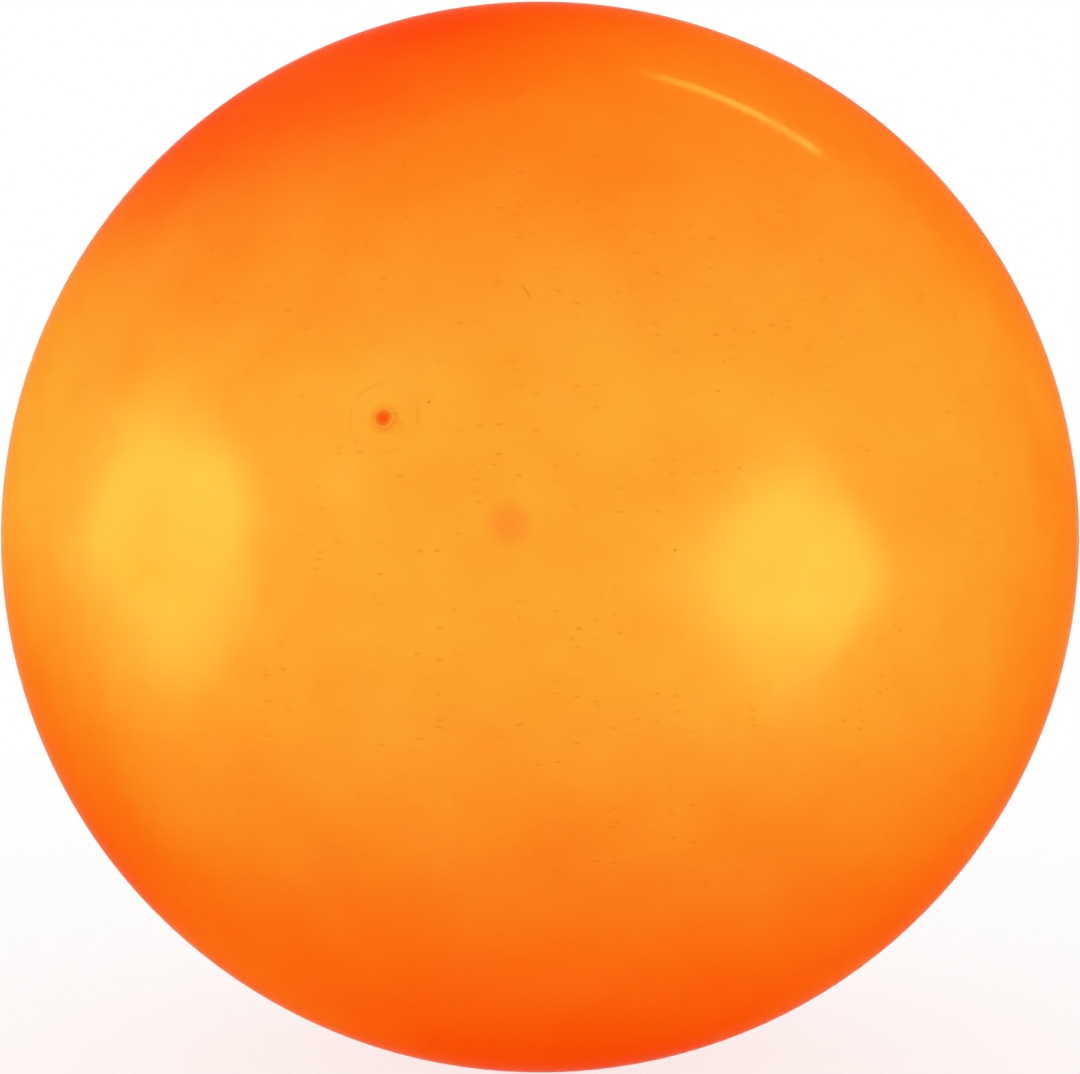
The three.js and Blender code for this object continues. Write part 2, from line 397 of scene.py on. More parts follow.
FLAP_THICKNESS, FLAP_OVERHANG = 0.8, 1.1
STRAP_WIDTH, STRAP_THICKNESS = 6, 0.8
FLAP_POINTS, TAB_POINTS = 40, 6

strap_inner = NECK_RADIUS + BOND_GAP / MM
strap_outer = strap_inner + STRAP_THICKNESS
flap_radius = LIP_RADIUS + FLAP_OVERHANG
half_tab = STRAP_WIDTH / 2
shoulder = math.acos(half_tab / flap_radius)
flap_outline = []
for k in range(FLAP_POINTS + 1):
    angle = math.pi - shoulder + (math.pi + 2 * shoulder) * k / FLAP_POINTS
    flap_outline.append(Vector((flap_radius * math.cos(angle), flap_radius * math.sin(angle))))
for k in range(TAB_POINTS + 1):
    flap_outline.append(Vector((half_tab - STRAP_WIDTH * k / TAB_POINTS, strap_outer)))

flap_top = seat_face - BOND_GAP / MM
flap_rings = sheet_rings(flap_outline, flap_top - FLAP_THICKNESS, flap_top)
flap = ring_mesh("flap", flap_rings, "flap", "check_flap", "inner")

# %% Make the strap

STRAP_LENGTH = 9
STRAP_POINTS = 12

half_angle = STRAP_WIDTH / 2 / strap_inner
strap_outline = []
for radius, way in ((strap_outer, 1), (strap_inner, -1)):
    for k in range(STRAP_POINTS + 1):
        angle = math.pi / 2 + way * half_angle * (2 * k / STRAP_POINTS - 1)
        strap_outline.append(Vector((radius * math.cos(angle), radius * math.sin(angle))))
strap_rings = sheet_rings(strap_outline, seat_face, seat_face + STRAP_LENGTH)
strap = ring_mesh("strap", strap_rings, "ball", "flap_strap", "inner")

# %% [markdown]
# ## The closing patch
#
# The blurred spot near the middle of the picture is on the far wall: a low disc of rubber, bonded
# inside over the hole that the mould left. A flat disc would stand off the curved wall at its edge, so
# its outer face is made of rings of the skin, and only its inner face is domed.

# %% Make the closing patch

PATCH_RADIUS, PATCH_THICKNESS, PATCH_EDGE, PATCH_FALL = 10 * MM, 2.2 * MM, 0.6 * MM, 1.6 * MM
PATCH_RINGS = 14
DOME_POWER = 3


def patch_ring(share, inset):
    """A ring of the patch at a share of its radius; the one in the middle is a single point."""
    return skin_ring(FAR_WALL, PATCH_RADIUS * share, inset, TURNED_AROUND if share else 1)


outer_face = SKIN_WALL + BOND_GAP
shares = [k / PATCH_RINGS for k in range(PATCH_RINGS + 1)]
patch_rings = [patch_ring(share, outer_face) for share in shares]
for share in reversed(shares):
    dome = PATCH_EDGE + (PATCH_THICKNESS + PATCH_FALL - PATCH_EDGE) * (1 - share**DOME_POWER)
    patch_rings.append(patch_ring(share, outer_face + dome))
patch = ring_mesh("closing_patch_disc", patch_rings, "ball", "closing_patch", "inner")

# %% [markdown]
# ## Camera
#
# The picture was taken level with the middle of the ball, from about two ball widths away, and the
# ball just fills it. The lens could be set by eye, but it follows from that: the ball's outline has to
# be as wide as it is in the picture, which is 1080 by 1074 points. The same numbers give the line from
# the camera through any point of the picture, so a mark can be put where it is seen on the ball.

# %% Place the camera

IMAGE_WIDTH, IMAGE_HEIGHT = 1080, 1074
OUTLINE_RADIUS = 539.15
CAMERA_DISTANCE = 4 * BALL_RADIUS

camera = bpy.data.objects.new("camera", bpy.data.cameras.new("camera"))
bpy.context.scene.collection.objects.link(camera)
bpy.context.scene.camera = camera
camera.location = CENTRE + Vector((0, -CAMERA_DISTANCE, 0))
camera.rotation_euler = (math.pi / 2, 0, 0)
outline_slope = BALL_RADIUS / math.sqrt(CAMERA_DISTANCE**2 - BALL_RADIUS**2)
focal_points = OUTLINE_RADIUS / outline_slope
camera.data.sensor_fit = "HORIZONTAL"
camera.data.lens = camera.data.sensor_width * focal_points / IMAGE_WIDTH
print("lens", round(camera.data.lens, 2), "mm")

# %% Find the point of the ball that a point of the picture shows

RADII = Vector((BALL_RADIUS, BALL_RADIUS, UPRIGHT_RADIUS))
RED_DOT = (383, 419)


def seen_point(across, down):
    """The camera's line through a point of the picture, and where it meets the front of the ball."""
    ray = Vector((across - IMAGE_WIDTH / 2, focal_points, IMAGE_HEIGHT / 2 - down)).normalized()
    start = Vector([(camera.location[k] - CENTRE[k]) / RADII[k] for k in range(3)])
    way = Vector([ray[k] / RADII[k] for k in range(3)])
    half = start.dot(way) / way.dot(way)
    inside = max(half * half - (start.dot(start) - 1) / way.dot(way), 0)
    return ray, camera.location + ray * (-half - math.sqrt(inside))


dot_place = seen_point(*RED_DOT)[1]
print("the red dot is", round((dot_place - VALVE.translation).length / MM, 1), "mm from the valve")

# %% [markdown]
# ## Node helpers
#
# Materials could be wired by hand in the Shader Editor. In code, a few helpers keep each node to one
# line: one adds any node, and the others add the kinds that are needed again and again.

# %% Helpers that add nodes

NOISE_MIDDLE = 0.5


def add(tree, kind, settings=None, **inputs):
    """A node of a kind; its inputs, by name or as i0 to i2, are values or sockets to link."""
    node = tree.nodes.new(kind)
    for key, value in (settings or {}).items():
        setattr(node, key, value)
    for key, value in inputs.items():
        by_number = key[0] == "i" and key[1:].isdigit()
        socket = node.inputs[int(key[1:]) if by_number else key.replace("_", " ")]
        if isinstance(value, bpy.types.NodeSocket):
            tree.links.new(value, socket)
        else:
            socket.default_value = value
    return node


def sums(tree, operation, *values):
    """The result of a Math node."""
    inputs = {f"i{k}": value for k, value in enumerate(values)}
    return add(tree, "ShaderNodeMath", {"operation": operation}, **inputs).outputs[0]


def vectors(tree, operation, *values):
    """The outputs of a Vector Math node: its Vector and, for a length or a product, its Value."""
    inputs = {f"i{k}": value for k, value in enumerate(values)}
    return add(tree, "ShaderNodeVectorMath", {"operation": operation}, **inputs).outputs


def remap(tree, value, from_low, from_high, to_low, to_high):
    """A value moved smoothly from one span to another, and held at the ends."""
    settings = {"interpolation_type": "SMOOTHSTEP"}
    return add(tree, "ShaderNodeMapRange", settings, Value=value, From_Min=from_low, From_Max=from_high,
               To_Min=to_low, To_Max=to_high).outputs[0]


def noise(tree, place, scale, detail):
    """Soft noise at a place, about 0.5 on average."""
    return add(tree, "ShaderNodeTexNoise", Vector=place, Scale=scale, Detail=detail).outputs[0]


def varied(tree, value, by, amount):
    """A value that a noise moves up and down by an amount."""
    return sums(tree, "MULTIPLY_ADD", sums(tree, "SUBTRACT", by, NOISE_MIDDLE), amount, value)


print("node helpers:", [helper.__name__ for helper in (add, sums, vectors, remap, noise, varied)])

# %% Helpers that start a material or a node group


def new_material(name):
    """A material with an empty node tree, and that tree."""
    material = bpy.data.materials.new(name)
    material.use_nodes = True
    material.node_tree.nodes.clear()
    return material, material.node_tree


def new_group(name, inputs, outputs):
    """An empty node group with named sockets, and its input and output nodes."""
    group = bpy.data.node_groups.new(name, "ShaderNodeTree")
    for socket, kind in inputs.items():
        group.interface.new_socket(socket, in_out="INPUT", socket_type=kind)
    for socket, kind in outputs.items():
        group.interface.new_socket(socket, in_out="OUTPUT", socket_type=kind)
    print("group", name, "takes", list(inputs), "and gives", list(outputs))
    return group, group.nodes.new("NodeGroupInput"), group.nodes.new("NodeGroupOutput")


NUMBER, POINT, COLOUR = "NodeSocketFloat", "NodeSocketVector", "NodeSocketColor"
print("starters:", [helper.__name__ for helper in (new_material, new_group)])

# %% [markdown]
# ## Colour from thickness
#
# The rubber's colour comes from how much of it the light crosses: red passes freely, green less and
# blue hardly at all. So thin film is amber and thick film is red. A colour ramp could hold those
# colours, but it ends somewhere, while this rule holds for any thickness. One node group keeps it for
# every piece. Its milk makes the rubber paler, as a filler does.

# %% The rule that turns thickness into colour

GREEN_AT_NONE, GREEN_LOSS = 1.23, 0.643
BLUE_AT_NONE, BLUE_LOSS = 0.6, 1.75
RED_PASSED = 1.0

film_colour, inlet, outlet = new_group(
    "film colour", {"Thickness": NUMBER, "Milk": NUMBER}, {"Color": COLOUR})
passed = []
for at_none, loss in ((GREEN_AT_NONE, GREEN_LOSS), (BLUE_AT_NONE, BLUE_LOSS)):
    lost = sums(film_colour, "MULTIPLY", inlet.outputs["Thickness"], -loss)
    share = sums(film_colour, "EXPONENT", lost)
    most = sums(film_colour, "MINIMUM", sums(film_colour, "MULTIPLY", share, at_none), RED_PASSED)
    passed.append(sums(film_colour, "ADD", most, inlet.outputs["Milk"]))
tint = add(film_colour, "ShaderNodeCombineColor", Red=RED_PASSED, Green=passed[0], Blue=passed[1])
film_colour.links.new(tint.outputs[0], outlet.inputs["Color"])
print("green passed at thickness 1:", round(GREEN_AT_NONE * math.exp(-GREEN_LOSS), 2))

# %% [markdown]
# ## The grain and depth of moulded rubber
#
# A mould leaves a fine grain and slow, cloudy shades on rubber, and a moulding is paler where it gets
# thinner away from its middle. Five materials need both, so each is a node group. The grain could be
# modelled, but it is far finer than the mesh.

# %% The grain that a mould leaves

GRAIN_SCALE, GRAIN_DETAIL = 900.0, 4.0
SHADE_SCALE, SHADE_DETAIL = 260.0, 2.0
ROUGHNESS_SPREAD = 0.1

rubber_grain, inlet, outlet = new_group(
    "moulded rubber grain", {"Roughness": NUMBER}, {"Shade": NUMBER, "Roughness": NUMBER, "Height": NUMBER})
place = add(rubber_grain, "ShaderNodeTexCoord").outputs["Object"]
grain = noise(rubber_grain, place, GRAIN_SCALE, GRAIN_DETAIL)
shade = noise(rubber_grain, place, SHADE_SCALE, SHADE_DETAIL)
rough = varied(rubber_grain, inlet.outputs["Roughness"], grain, ROUGHNESS_SPREAD)
rubber_grain.links.new(shade, outlet.inputs["Shade"])
rubber_grain.links.new(rough, outlet.inputs["Roughness"])
rubber_grain.links.new(grain, outlet.inputs["Height"])
print("grain nodes:", len(rubber_grain.nodes))

# %% How deep a moulding is to the light

SHADE_UNEVENNESS = 0.15

rubber_depth, inlet, outlet = new_group(
    "moulded rubber depth",
    {"Thickness": NUMBER, "Shade": NUMBER, "Middle": POINT, "Near": NUMBER, "Far": NUMBER,
     "Far Share": NUMBER},
    {"Thickness": NUMBER})
given = inlet.outputs
place = add(rubber_depth, "ShaderNodeTexCoord").outputs["Object"]
away = vectors(rubber_depth, "DISTANCE", place, given["Middle"])["Value"]
share = remap(rubber_depth, away, given["Near"], given["Far"], 1.0, given["Far Share"])
uneven = varied(rubber_depth, share, given["Shade"], SHADE_UNEVENNESS)
depth = sums(rubber_depth, "MULTIPLY", uneven, given["Thickness"])
rubber_depth.links.new(depth, outlet.inputs["Thickness"])
print("depth nodes:", len(rubber_depth.nodes))

# %% [markdown]
# ## The film
#
# A blown bubble is never even. It is thinnest round its middle and thicker towards the crown and the
# foot, and here it is thickest high on the left. That could be painted on the mesh, but a painting is
# only as fine as its points. So each zone adds to the thickness round a direction from the ball's
# middle, and the colour follows the sum. The zones carry painted shade and light too: part of the deeper
# red at the crown, high on the left and at the foot is painted shade where less light falls, and part
# of the paler left side is painted light. Light that comes through at a slant crosses more rubber, so
# Layer Weight adds thickness there, as in tinted glass.

# %% Thickness, and painted shade and light, over the film

EVEN_THICKNESS = 1.0
SLANT_THICKENING, SLANT_POWER, SLANT_BLEND = 0.43, 2.0, 0.5
# Each zone is a direction, the cosines where it begins and is full, and the thickness that it adds;
# that thickness is partly the film's unevenness and partly painted shade and painted light.
THICKNESS_AND_SHADE_ZONES = {
    "crown": ((-0.1, 0.0, 0.99), 0.25, 0.9, 0.7),
    "high left": ((-0.35, -0.2, 0.92), 0.74, 0.97, 0.65),
    "high front": ((0.36, -0.42, 0.83), 0.85, 1.0, -0.3),
    "right shoulder": ((0.74, -0.25, 0.62), 0.86, 1.0, 0.14),
    "foot": ((0.0, 0.0, -1.0), 0.15, 1.15, 1.15),
    "low left": ((-0.48, -0.25, -0.84), 0.9, 1.0, -0.45),
    "low front": ((0.0, -0.25, -0.97), 0.95, 1.0, -0.15),
    "low right": ((0.48, -0.25, -0.84), 0.95, 1.0, -0.2),
    "left side": ((-0.92, -0.3, 0.21), 0.8, 1.0, -0.3),
    "lower left side": ((-0.86, -0.25, -0.45), 0.83, 1.0, 0.35),
    "right side": ((0.93, -0.25, -0.28), 0.8, 1.0, 0.19),
}

film, tree = new_material("stretched rubber film")
place = add(tree, "ShaderNodeTexCoord").outputs["Object"]
from_middle = vectors(tree, "SUBTRACT", place, tuple(CENTRE))["Vector"]
unit = vectors(tree, "DIVIDE", from_middle, tuple(RADII))["Vector"]

slant = add(tree, "ShaderNodeLayerWeight", Blend=SLANT_BLEND).outputs["Facing"]
slanted = sums(tree, "POWER", slant, SLANT_POWER)
thickness_and_shade = sums(tree, "MULTIPLY_ADD", slanted, SLANT_THICKENING, EVEN_THICKNESS)
# The zones add thickness that is partly painted shade at the crown, high left and foot, and painted light on
# the left side.
for direction, begins, full, amount in THICKNESS_AND_SHADE_ZONES.values():
    facing = vectors(tree, "DOT_PRODUCT", unit, tuple(Vector(direction).normalized()))["Value"]
    thickness_and_shade = sums(tree, "ADD", remap(tree, facing, begins, full, 0.0, amount), thickness_and_shade)
print("film zones:", list(THICKNESS_AND_SHADE_ZONES))

# %% Spots where the film is uneven

# Each spot is a point of the picture, how far it reaches, and the thickness that it adds.
UNEVEN_SPOTS = [((345, 478), 28 * MM, -0.1), ((410, 830), 60 * MM, -0.1), ((425, 28), 70 * MM, 0.3)]


def film_distance(point):
    """How far a place on the film is from a point."""
    return vectors(tree, "DISTANCE", place, tuple(point))["Value"]


for seen, reach, amount in UNEVEN_SPOTS:
    spot = remap(tree, film_distance(seen_point(*seen)[1]), 0.0, reach, 1.0, 0.0)
    thickness_and_shade = sums(tree, "MULTIPLY_ADD", spot, amount, thickness_and_shade)
print("uneven spots:", len(UNEVEN_SPOTS))

# %% [markdown]
# ## Marks in the film
#
# Close up the film has soft clouds, short level dashes, about a dozen specks and one hair. They could
# be small meshes on the skin, but they are in the rubber, so they are masks in its material. A mark is
# soil, which darkens the film, and it thickens the film a little too, so that it shows as a deeper red
# and not as grey.

# %% Clouds and dashes

CLOUD_SCALE, CLOUD_DETAIL, CLOUD_THICKENING = 16.0, 3.0, 0.45
DASH_CELL = (11 * MM, 11 * MM, 3.2 * MM)
DASH_CORE, DASH_EDGE = 0.08, 0.24
DASH_NONE, DASH_FULL = 0.2, 1.0
DASH_THICKENING, DASH_SOIL = 0.18, 0.1

cloud = noise(tree, place, CLOUD_SCALE, CLOUD_DETAIL)
thickness_and_shade = varied(tree, thickness_and_shade, cloud, CLOUD_THICKENING)

dash_place = vectors(tree, "DIVIDE", place, DASH_CELL)["Vector"]
dash_cells = add(tree, "ShaderNodeTexVoronoi", Vector=dash_place, Scale=1.0).outputs
dash_shape = remap(tree, dash_cells["Distance"], DASH_CORE, DASH_EDGE, 1.0, 0.0)
dash_number = add(tree, "ShaderNodeSeparateColor", Color=dash_cells["Color"]).outputs[0]
dash_share = remap(tree, dash_number, DASH_NONE, DASH_FULL, 0.0, 1.0)
dash_mark = sums(tree, "MULTIPLY", dash_shape, dash_share)
thickness_and_shade = sums(tree, "MULTIPLY_ADD", dash_mark, DASH_THICKENING, thickness_and_shade)
soil = sums(tree, "MULTIPLY", dash_mark, DASH_SOIL)
print("a dash has a cell of", [round(side / MM, 1) for side in DASH_CELL], "mm")

# %% Specks and a hair

# Each speck is a point of the picture, across and down, and how dark it is.
SPECKS = [(675, 550, 0.29), (429, 402, 0.29), (1031, 451, 0.27), (739, 468, 0.23), (212, 249, 0.23),
          (887, 689, 0.2), (572, 639, 0.18), (725, 361, 0.16), (821, 260, 0.16), (519, 618, 0.16),
          (895, 626, 0.15), (752, 277, 0.15)]
SPECK_CORE, SPECK_EDGE = 0.3 * MM, 1.15 * MM
HAIR_ENDS = ((521, 284), (532, 299))
HAIR_SWELL, HAIR_DARK = 0.06 * MM, 0.22
SOIL_THICKENING = 0.8

for across, down, dark in SPECKS:
    away = film_distance(seen_point(across, down)[1])
    soil = sums(tree, "ADD", remap(tree, away, SPECK_CORE, SPECK_EDGE, dark, 0.0), soil)

ends = [seen_point(*end)[1] for end in HAIR_ENDS]
hair_length = (ends[1] - ends[0]).length
way_round = sums(tree, "ADD", film_distance(ends[0]), film_distance(ends[1]))
detour = sums(tree, "SUBTRACT", way_round, hair_length)
soil = sums(tree, "ADD", remap(tree, detour, 0.0, HAIR_SWELL, HAIR_DARK, 0.0), soil)
thickness_and_shade = sums(tree, "MULTIPLY_ADD", soil, SOIL_THICKENING, thickness_and_shade)
print(len(SPECKS), "specks, and a hair", round(hair_length / MM, 1), "mm long")

# %% [markdown]
# ## Round the valve and the patch
#
# The film is thick close to the valve's collar and a little thin further out, and a faint broken ring
# shows where the boss ends. The bond of the closing patch is a broad dark spot on the far wall. The
# ring's height is in the mesh already. Here distances from the valve and the patch give the colours.

# %% The boss's ring and the bonds

RING_SCALE, RING_DETAIL, RING_WAVE = 110.0, 1.0, 4 * MM
RING_CORE, RING_EDGE = 0.2 * MM, 0.7 * MM
RING_BREAKS, RING_WHOLE = 0.5, 0.66
RING_THICKENING, RING_SOIL = 0.15, 0.065
THIN_FROM, THIN_TO, THINNING = 12 * MM, 60 * MM, -0.05
THICK_FROM, THICK_TO, THICKENING = 6 * MM, 10.5 * MM, 0.24
BOND_REACH, BOND_THICKENING = 27 * MM, 1.25

from_valve = film_distance(VALVE.translation)
ring_breaks = noise(tree, place, RING_SCALE, RING_DETAIL)
wavy = varied(tree, from_valve, ring_breaks, RING_WAVE)
off_ring = sums(tree, "ABSOLUTE", sums(tree, "SUBTRACT", wavy, RIDGE_RADIUS))
ring_line = remap(tree, off_ring, RING_CORE, RING_EDGE, 1.0, 0.0)
ring_mark = sums(tree, "MULTIPLY", ring_line, remap(tree, ring_breaks, RING_BREAKS, RING_WHOLE, 0.0, 1.0))
thickness_and_shade = sums(tree, "MULTIPLY_ADD", ring_mark, RING_THICKENING, thickness_and_shade)
soil = sums(tree, "MULTIPLY_ADD", ring_mark, RING_SOIL, soil)

from_patch = film_distance(FAR_WALL.translation)
for away, near, far, amount in ((from_valve, THIN_FROM, THIN_TO, THINNING),
                                (from_valve, THICK_FROM, THICK_TO, THICKENING),
                                (from_patch, 0.0, BOND_REACH, BOND_THICKENING)):
    thickness_and_shade = sums(tree, "ADD", remap(tree, away, near, far, amount, 0.0), thickness_and_shade)
print("the boss's ring is", round(2 * RIDGE_RADIUS / MM, 1), "mm wide")

# %% [markdown]
# ## The film's surface
#
# The gloss on such rubber is as amber as the film. A clear coat would give white gloss, so a little
# Metallic carries it: its mirror takes the base colour, and the specular tint colours it at the edge
# of the ball. The thin film doesn't bend what is seen through it, so its index of refraction is close
# to 1. High on the left it has a faint pale bloom, which is some milk in its colour.

# %% Finish the film

FILM_ROUGHNESS, SMOOTHER, ROUGHER = 0.11, 0.02, 0.03
CLOUD_LOW, CLOUD_HIGH = 0.3, 0.7
PEEL_SCALE, PEEL_DETAIL = 170.0, 1.0
PEEL_STRENGTH, PEEL_HEIGHT = 0.01, 0.2 * MM
BLOOM_FACING = Vector((-0.58, -0.35, 0.74)).normalized()
BLOOM_BEGINS, BLOOM_FULL, BLOOM = 0.78, 1.0, 0.026
FILM_EDGE = (1.0, 0.4, 0.25, 1.0)
FILM_MIRROR, FILM_CLEAR = 0.035, 0.8
RUBBER_IOR = 1.005

film_shine = remap(tree, cloud, CLOUD_LOW, CLOUD_HIGH, FILM_ROUGHNESS - SMOOTHER, FILM_ROUGHNESS + ROUGHER)
peel = noise(tree, place, PEEL_SCALE, PEEL_DETAIL)
film_bump = add(tree, "ShaderNodeBump", Strength=PEEL_STRENGTH, Distance=PEEL_HEIGHT, Height=peel)
bloom_facing = vectors(tree, "DOT_PRODUCT", unit, tuple(BLOOM_FACING))["Value"]
bloom = remap(tree, bloom_facing, BLOOM_BEGINS, BLOOM_FULL, 0.0, BLOOM)
film_tint = add(tree, "ShaderNodeGroup", {"node_tree": film_colour},
                Thickness=thickness_and_shade, Milk=bloom).outputs["Color"]
clean = sums(tree, "SUBTRACT", 1.0, soil)
soiled_tint = add(tree, "ShaderNodeVectorMath", {"operation": "SCALE"}, i0=film_tint, Scale=clean)
film_shader = add(tree, "ShaderNodeBsdfPrincipled", Base_Color=soiled_tint.outputs["Vector"],
                  Roughness=film_shine, Normal=film_bump.outputs[0], Metallic=FILM_MIRROR, IOR=RUBBER_IOR,
                  Specular_IOR_Level=0.0, Specular_Tint=FILM_EDGE, Transmission_Weight=FILM_CLEAR)
add(tree, "ShaderNodeOutputMaterial", Surface=film_shader.outputs[0])
skin.data.materials.append(film)
print("film nodes:", len(tree.nodes))

# %% [markdown]
# ## The mouldings
#
# The stopper and the collar round it are solid, so they are the deep red of thick rubber. The neck's
# tube, the strap, the flap and the patch are thinner and let light through. Each could have a material
# wired by itself, but they are one rubber, so one function makes them from the shared groups, each
# with its own thickness.

# %% Materials of the mouldings

GRAIN_STRENGTH, GRAIN_HEIGHT = 0.25, 0.1 * MM
MOULDING_GLOSS = 0.5


def moulding(name, milk, roughness, clear, **depth_values):
    """Moulded rubber in the film's colours; its depth values are inputs of the depth group."""
    material, tree = new_material(name)
    grain = add(tree, "ShaderNodeGroup", {"node_tree": rubber_grain}, Roughness=roughness).outputs
    depth = add(tree, "ShaderNodeGroup", {"node_tree": rubber_depth}, Shade=grain["Shade"], **depth_values)
    tint = add(tree, "ShaderNodeGroup", {"node_tree": film_colour},
               Thickness=depth.outputs["Thickness"], Milk=milk)
    bump = add(tree, "ShaderNodeBump", Strength=GRAIN_STRENGTH, Distance=GRAIN_HEIGHT, Height=grain["Height"])
    shader = add(tree, "ShaderNodeBsdfPrincipled", Base_Color=tint.outputs["Color"],
                 Roughness=grain["Roughness"], Normal=bump.outputs[0], IOR=RUBBER_IOR,
                 Specular_IOR_Level=MOULDING_GLOSS, Transmission_Weight=clear)
    add(tree, "ShaderNodeOutputMaterial", Surface=shader.outputs[0])
    print(name, "is", depth_values["Thickness"], "thick, and", clear, "of it is clear")
    return material


valve_middle, patch_middle = tuple(VALVE.translation), tuple(FAR_WALL.translation)
stopper_rubber = moulding("solid stopper rubber", milk=0.0045, roughness=0.45, clear=0.0, Thickness=4.0,
                          Middle=valve_middle, Near=1.5 * MM, Far=4.2 * MM, Far_Share=0.62)
collar_rubber = moulding("collar rubber", milk=0.015, roughness=0.45, clear=0.0, Thickness=2.5,
                         Middle=valve_middle, Near=4 * MM, Far=6.2 * MM, Far_Share=0.78)
neck_rubber = moulding("clear neck rubber", milk=0.0, roughness=0.4, clear=0.94, Thickness=0.05,
                       Middle=valve_middle, Near=0.0, Far=30 * MM, Far_Share=0.9)
sheet_rubber = moulding("inner sheet rubber", milk=0.0, roughness=0.5, clear=0.9, Thickness=0.3,
                        Middle=valve_middle, Near=0.0, Far=30 * MM, Far_Share=0.8)
patch_rubber = moulding("patch rubber", milk=0.0, roughness=0.5, clear=0.9, Thickness=0.35,
                        Middle=patch_middle, Near=3 * MM, Far=10 * MM, Far_Share=0.3)
for piece, rubber in ((stopper, stopper_rubber), (neck, neck_rubber), (flap, sheet_rubber),
                      (strap, sheet_rubber), (patch, patch_rubber)):
    piece.data.materials.append(rubber)

# %% [markdown]
# ## The collar on the neck
#
# The neck is one moulding, but only its collar, the thick rim that the stopper sits in, looks solid.
# The collar could be a mesh of its own, but then a seam would run round the bore, so its faces get a
# second material instead. The collar's outer wall is bonded to the film and stays clear like the tube.

# %% Give the collar its faces

ABOVE_FLANGE = 0.5
BONDED_WALL, BONDED_TOP = 0.3, -0.35

neck.data.materials.append(collar_rubber)
into_valve = VALVE.inverted()
collar_faces = 0
for face in neck.data.polygons:
    middle = into_valve @ face.center
    bonded = middle.xy.length > (rim_radius - BONDED_WALL) * MM and middle.z < BONDED_TOP * MM
    if middle.z > (FLANGE_TOP + ABOVE_FLANGE) * MM and not bonded:
        face.material_index = 1
        collar_faces += 1
print("the collar has", collar_faces, "of the neck's", len(neck.data.polygons), "faces")

# %% [markdown]
# ## Room and floor
#
# The ball stands on a plain white floor in an even white room, so each colour renders about as it is
# written. Lamps and a curved backdrop could light it too, but their edges would show in the film. The
# floor shows itself to the camera, in gloss and through the film as nearly white, and keeps a soft
# shadow of the ball, which fades out away from it. A look through the ball crosses many surfaces, so
# more bounces than usual are let through, and Cycles' own blur of gloss is off.

# %% White room

WHITE = (1, 1, 1, 1)
ROOM_STRENGTH = 1.0
BOUNCES = 24

bpy.context.scene.view_settings.view_transform = "Standard"
bpy.context.scene.cycles.blur_glossy = 0.0
bpy.context.scene.cycles.max_bounces = BOUNCES
bpy.context.scene.cycles.transmission_bounces = BOUNCES

world = bpy.data.worlds.new("white room")
bpy.context.scene.world = world
world.use_nodes = True
world.node_tree.nodes.clear()
sky = add(world.node_tree, "ShaderNodeBackground", Color=WHITE, Strength=ROOM_STRENGTH)
add(world.node_tree, "ShaderNodeOutputWorld", Surface=sky.outputs[0])
print("a white room of strength", ROOM_STRENGTH, "with", BOUNCES, "bounces")

# %% White floor

FLOOR_REACH = 30.0
FLOOR_PAINT = (0.92, 0.92, 0.92, 1)
FLOOR_SHADOW = 0.22
SHADOW_FADES, SHADOW_ENDS = 0.6, 2.5

floor_mesh = bpy.data.meshes.new("floor")
corners = [(x * FLOOR_REACH, y * FLOOR_REACH, 0) for x, y in ((-1, -1), (1, -1), (1, 1), (-1, 1))]
floor_mesh.from_pydata(corners, [], [(0, 1, 2, 3)])
floor = bpy.data.objects.new("floor", floor_mesh)
bpy.context.scene.collection.objects.link(floor)

floor_paint, floor_tree = new_material("white floor")
matte = add(floor_tree, "ShaderNodeBsdfDiffuse", Color=FLOOR_PAINT)
white = add(floor_tree, "ShaderNodeEmission", Color=WHITE, Strength=1.0)
ray = add(floor_tree, "ShaderNodeLightPath").outputs
through = sums(floor_tree, "MAXIMUM", ray["Is Glossy Ray"], ray["Is Transmission Ray"])
shown = sums(floor_tree, "MAXIMUM", ray["Is Camera Ray"], through)
floor_place = add(floor_tree, "ShaderNodeTexCoord").outputs["Object"]
from_ball = vectors(floor_tree, "LENGTH", floor_place)["Value"]
unshadowed = remap(floor_tree, from_ball, SHADOW_FADES, SHADOW_ENDS, 1 - FLOOR_SHADOW, 1.0)
white_share = sums(floor_tree, "MULTIPLY", shown, unshadowed)
mixed = add(floor_tree, "ShaderNodeMixShader", i0=white_share, i1=matte.outputs[0], i2=white.outputs[0])
add(floor_tree, "ShaderNodeOutputMaterial", Surface=mixed.outputs[0])
floor_mesh.materials.append(floor_paint)
print("a floor", 2 * FLOOR_REACH, "m wide, with a shadow that ends", SHADOW_ENDS, "m from the ball")

# %% [markdown]
# ## Softboxes
#
# The amber glows on the ball are two softboxes, seen in the film's gloss. A photographer moves a
# softbox until its reflection sits right, and so does `softbox`: it follows the camera's lines to
# points of the picture, bounces them off the ball, and hangs the panel where it is seen there. Area
# lamps would light the whole film as well. The panels show in gloss only, so that light stays plain.

# %% A panel that is seen in the ball

PANEL_DISTANCE = 0.4
HIDDEN_FROM = ("camera", "diffuse", "transmission", "volume_scatter", "shadow")


def bounced(across, down):
    """Where a panel hangs that is seen in the ball at a point of the picture."""
    ray, met = seen_point(across, down)
    normal = Vector([(met[k] - CENTRE[k]) / RADII[k] ** 2 for k in range(3)]).normalized()
    return met + ray.reflect(normal) * PANEL_DISTANCE


